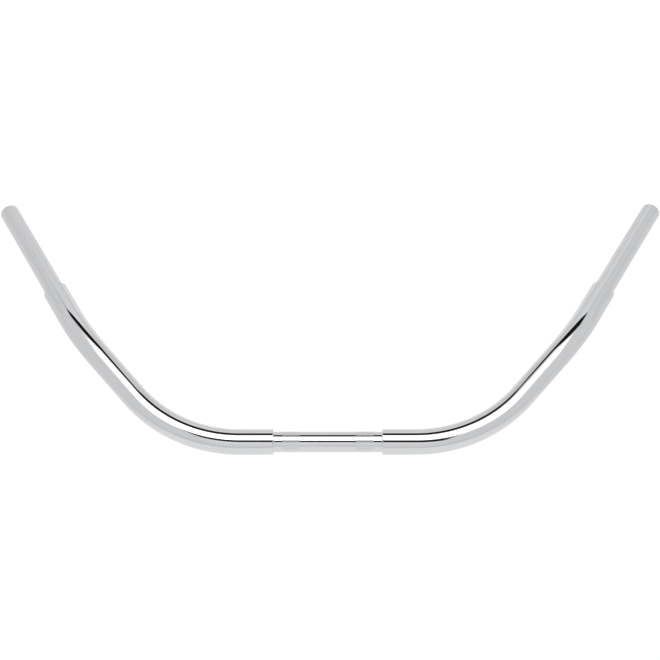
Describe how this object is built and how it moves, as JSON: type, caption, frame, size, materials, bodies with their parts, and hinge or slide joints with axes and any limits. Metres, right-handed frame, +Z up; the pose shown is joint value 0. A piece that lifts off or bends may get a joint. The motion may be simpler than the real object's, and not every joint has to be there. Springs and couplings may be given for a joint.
{
  "type": "motorcycle handlebar",
  "caption": "Wide swept-back motorcycle handlebar of chrome-plated steel tube, with knurled clamping bands and stepped-down clamp and grip sections.",
  "frame": {"origin": "on the axis of the centre tube, midway between the two knurled bands, where the risers hold the bar", "axes": "+X along the centre tube towards the rider's left, +Y level towards the rider (the way the bar sweeps back), +Z up"},
  "size_m": [0.9144, 0.4082, 0.067],
  "materials": {
    "chrome": "polished bright chrome plate on steel tube",
    "plated_weld": "bright chrome plate over a weld dressed by hand, a little softer than the tube"
  },
  "bodies": {
    "root": {"centre_tube": "chrome", "left_arm_tube": "chrome", "right_arm_tube": "chrome", "left_grip_tube": "chrome", "right_grip_tube": "chrome", "left_clamp_weld": "plated_weld", "right_clamp_weld": "plated_weld", "left_grip_weld": "plated_weld", "right_grip_weld": "plated_weld"}
  },
  "joints": []
}
